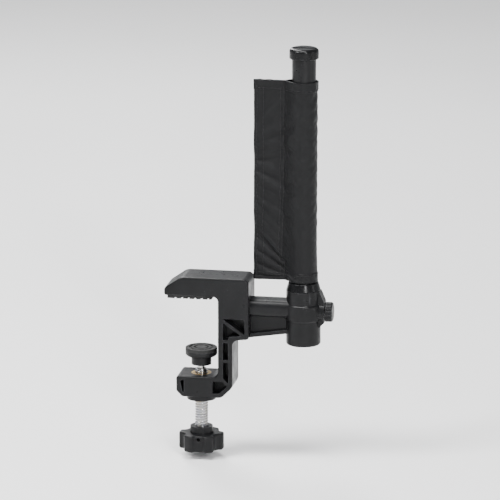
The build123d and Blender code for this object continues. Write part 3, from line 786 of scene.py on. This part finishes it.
def stitch_mesh(stitches, sides=7):
    """A rounded thread along each stitch, thinner at its ends."""
    points, faces = [], []
    for middle, up in stitches:
        start = len(points)
        run = np.gradient(middle, axis=0)
        run /= np.linalg.norm(run, axis=1, keepdims=True)
        side = np.cross(run, up)
        side /= np.linalg.norm(side, axis=1, keepdims=True)
        lift = np.cross(side, run)
        width = STITCH_R * STITCH_WIDTHS
        for k in range(len(middle)):
            for i in range(sides):
                turn = 2 * pi * i / sides
                points.append(middle[k] + width[k] * (cos(turn) * side[k] + sin(turn) * lift[k]))
        faces += grid_faces(len(middle), sides, closed=True, start=start, flip=True)
        faces.append([start + i for i in range(sides)])
        faces.append([start + (len(middle) - 1) * sides + i for i in range(sides)][::-1])
    return points, faces


def column_at(flat_across, outer, outward, distance):
    """The line of points up the sleeve at a distance round its section."""
    c = int(np.searchsorted(flat_across, distance)) - 1
    t = (distance - flat_across[c]) / (flat_across[c + 1] - flat_across[c])
    line = outer[:, c] * (1 - t) + outer[:, c + 1] * t
    normals = outward[:, c] * (1 - t) + outward[:, c + 1] * t
    return line, normals


def build_stitching(outer, outward, flat_across, flat_up):
    """Upright rows of stitches on both layers of the flap, and a level row round each hem."""
    stitches = []
    back_seam = FLAP_LENGTH + POCKET_LENGTH
    distances = list(EDGE_STITCHES) + [FLAP_LENGTH - d for d in SEAM_STITCHES]
    distances += [back_seam + d for d in SEAM_STITCHES]
    distances += [back_seam + FLAP_LENGTH - d for d in EDGE_STITCHES]
    margin = 1.0 * MM  # without stitches, at the sleeve's two ends
    inside = (flat_up > margin) & (flat_up < flat_up[-1] - margin)
    for distance in distances:
        line, normals = column_at(flat_across, outer, outward, distance)
        along_line(line[inside], normals[inside], stitches)
    for height in (HEM_STITCH, flat_up[-1] - HEM_STITCH):
        r = int(np.argmin(abs(flat_up - height)))
        front, pocket = slice(1, FRONT_COLUMNS), slice(FRONT_COLUMNS, BACK_START)
        for columns in (front, pocket, slice(BACK_START, -2)):
            along_line(outer[r, columns], outward[r, columns], stitches)
    points, faces = stitch_mesh(stitches)
    return new_piece("sleeve_stitching", points, faces, STITCHES)


sleeve, outer, outward, flat_across, flat_up = build_sleeve()
stitching = build_stitching(outer, outward, flat_across, flat_up)
for piece in (sleeve, stitching):
    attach(piece, "post")
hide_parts("net_sleeve")


# ---- Floor, light and camera --------------------------------------------------------
def pale_floor():
    """A wide floor that glows more with distance, so that it stays pale in low views."""
    shader = Shader("floor")
    shader.feed("Base Color", shader.mix(shader.noise(1.5, 2.0), grey(0.85), grey(0.89)))
    shader.feed("Roughness", shader.band(shader.noise(3.0), 0.3, 0.7, 0.55, 0.7))
    away = shader.node("ShaderNodeVectorMath", {0: shader.place}, operation="LENGTH").outputs["Value"]
    shader.feed("Emission Strength", shader.band(away, 0.6, 4.5, 0.0, 0.52))
    shader.surface.inputs["Emission Color"].default_value = grey(1.0)
    reach = 60.0  # metres, far past the horizon of every view
    z = KNOB_LO.z - 5.5 * MM  # just below the knob at the end of its travel
    corners = [(-reach, -reach, z), (reach, -reach, z), (reach, reach, z), (-reach, reach, z)]
    floor = new_piece("floor", corners, [[0, 1, 2, 3]], shader.material)


def aimed(name, data, azimuth, elevation, distance):
    """A light or camera that faces the object's middle.

    Azimuth 0 is the side of -Y and azimuth 90 that of +X, in degrees, like the elevation.
    """
    a, e = radians(azimuth), radians(elevation)
    back = Vector((sin(a) * cos(e), -cos(a) * cos(e), sin(e)))
    made = bpy.data.objects.new(name, data)
    bpy.context.scene.collection.objects.link(made)
    made.location = MIDDLE + back * distance
    made.rotation_mode = "QUATERNION"
    made.rotation_quaternion = back.to_track_quat("Z", "Y")
    return made


def softbox(name, azimuth, elevation, distance, size, watts):
    """Area light, size metres wide and high, that the camera doesn't see."""
    light = bpy.data.lights.new(name, "AREA")
    light.shape = "RECTANGLE"
    light.size, light.size_y = size
    light.energy = watts
    aimed(name, light, azimuth, elevation, distance).visible_camera = False


def studio_sky():
    """Even light from all round, strongest near the horizon."""
    world = bpy.data.worlds.new("studio")
    bpy.context.scene.world = world
    world.use_nodes = True
    nodes, link = world.node_tree.nodes, world.node_tree.links.new
    sky = nodes["Background"]
    sky.inputs["Color"].default_value = (0.95, 0.965, 1.0, 1.0)
    direction = nodes.new("ShaderNodeTexCoord").outputs["Generated"]
    split = nodes.new("ShaderNodeSeparateXYZ")
    fade = nodes.new("ShaderNodeMapRange")
    link(direction, split.inputs[0])
    link(split.outputs["Z"], fade.inputs["Value"])
    for socket, value in (("From Min", 0.02), ("From Max", 0.35), ("To Min", 0.78), ("To Max", 0.28)):
        fade.inputs[socket].default_value = value
    link(fade.outputs["Result"], sky.inputs["Strength"])


MIDDLE = (CAD_BOX[0] + CAD_BOX[1]) / 2
CAMERA_AZIMUTH, CAMERA_ELEVATION, CAMERA_DISTANCE = 10.0, 14.0, 3.9
FRAME_HEIGHT = 0.375  # of the picture, at the object
SENSOR = 36.0  # the camera's own millimetres

pale_floor()
softbox("key", -56.0, 48.0, 1.6, (0.45, 0.45), 30.0)
softbox("strip", 26.0, 22.0, 1.9, (0.08, 0.9), 30.0)
softbox("fill", 84.0, 12.0, 1.8, (0.3, 1.2), 5.0)
softbox("rim", 205.0, 40.0, 1.6, (0.4, 1.2), 26.0)
softbox("top", -8.0, 76.0, 1.7, (0.9, 0.4), 38.0)
studio_sky()

camera_data = bpy.data.cameras.new("camera")
camera_data.sensor_width = SENSOR
camera_data.lens = SENSOR * CAMERA_DISTANCE / FRAME_HEIGHT
camera_data.clip_end = 100.0
camera = aimed("camera", camera_data, CAMERA_AZIMUTH, CAMERA_ELEVATION, CAMERA_DISTANCE)
bpy.context.scene.camera = camera
